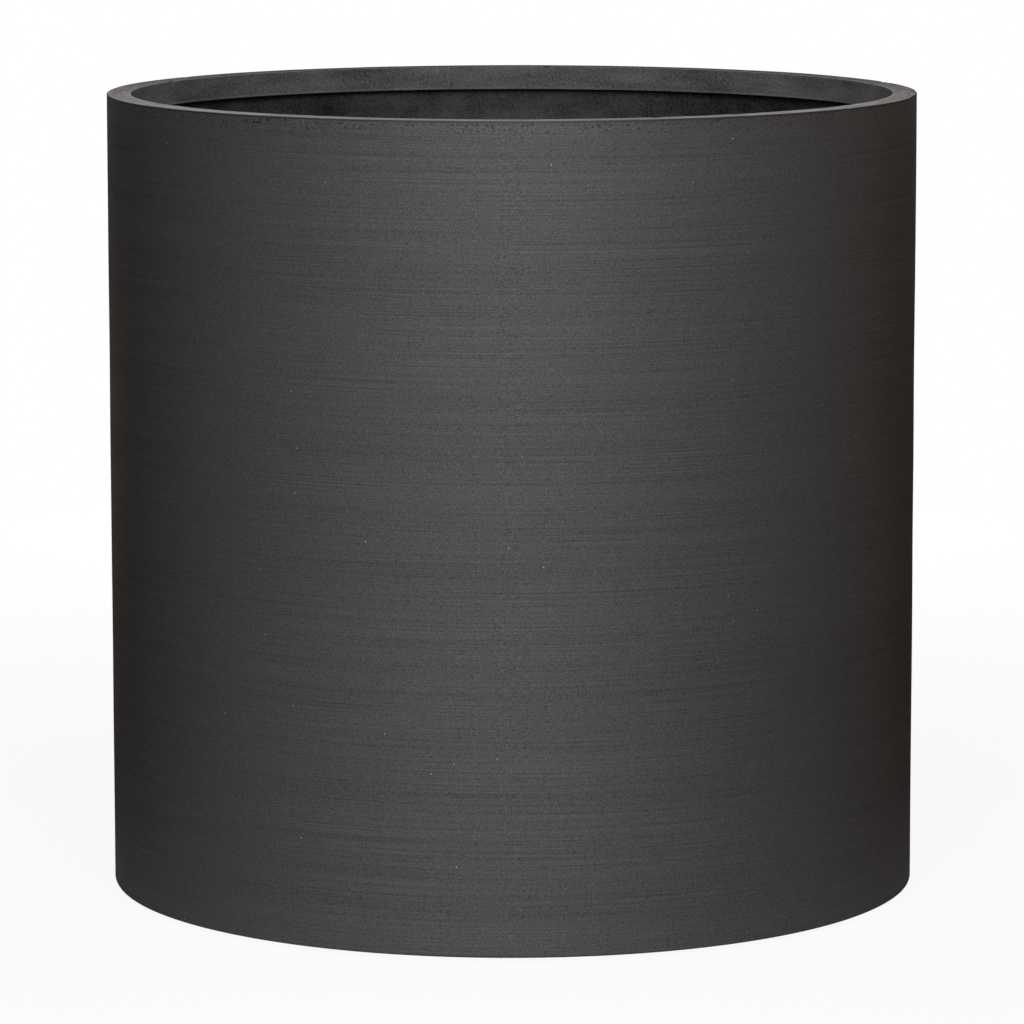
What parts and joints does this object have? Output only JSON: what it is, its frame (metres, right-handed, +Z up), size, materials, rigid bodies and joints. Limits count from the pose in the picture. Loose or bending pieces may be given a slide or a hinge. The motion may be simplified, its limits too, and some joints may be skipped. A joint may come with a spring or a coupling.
{
  "type": "floor planter",
  "caption": "Round straight-sided floor planter in brushed dark grey stone composite, with a thick square rim, a set-back fibre lining, a lift-out drain plug and foot pads.",
  "frame": {"origin": "on the ground at the middle of the base, in the plane of the foot pads' undersides", "axes": "+Z up along the axis of the pot, towards its mouth; +X through the first foot pad; the picture looks along +Y"},
  "size_m": [0.6, 0.6, 0.593],
  "materials": {
    "brushed_stone": "dark grey stone and resin, brushed round the pot",
    "sanded_stone": "dark grey stone and resin, sanded lighter on its top face",
    "fibre_laminate": "coarse black glass-fibre laminate",
    "plug_rubber": "moulded black rubber",
    "pad_rubber": "die-cut black rubber"
  },
  "bodies": {
    "planter": {"outer_shell": "brushed_stone", "rim_ring": "sanded_stone", "fibre_lining": "fibre_laminate", "foot_pad_1": "pad_rubber", "foot_pad_2": "pad_rubber", "foot_pad_3": "pad_rubber", "foot_pad_4": "pad_rubber", "foot_pad_5": "pad_rubber", "foot_pad_6": "pad_rubber"},
    "plug": {"drain_plug": "plug_rubber"}
  },
  "joints": [
    {"name": "plug_lift", "type": "slide", "parent": "planter", "child": "plug", "axis": [0, 0, 1], "range_m": [0, 0.6]}
  ]
}
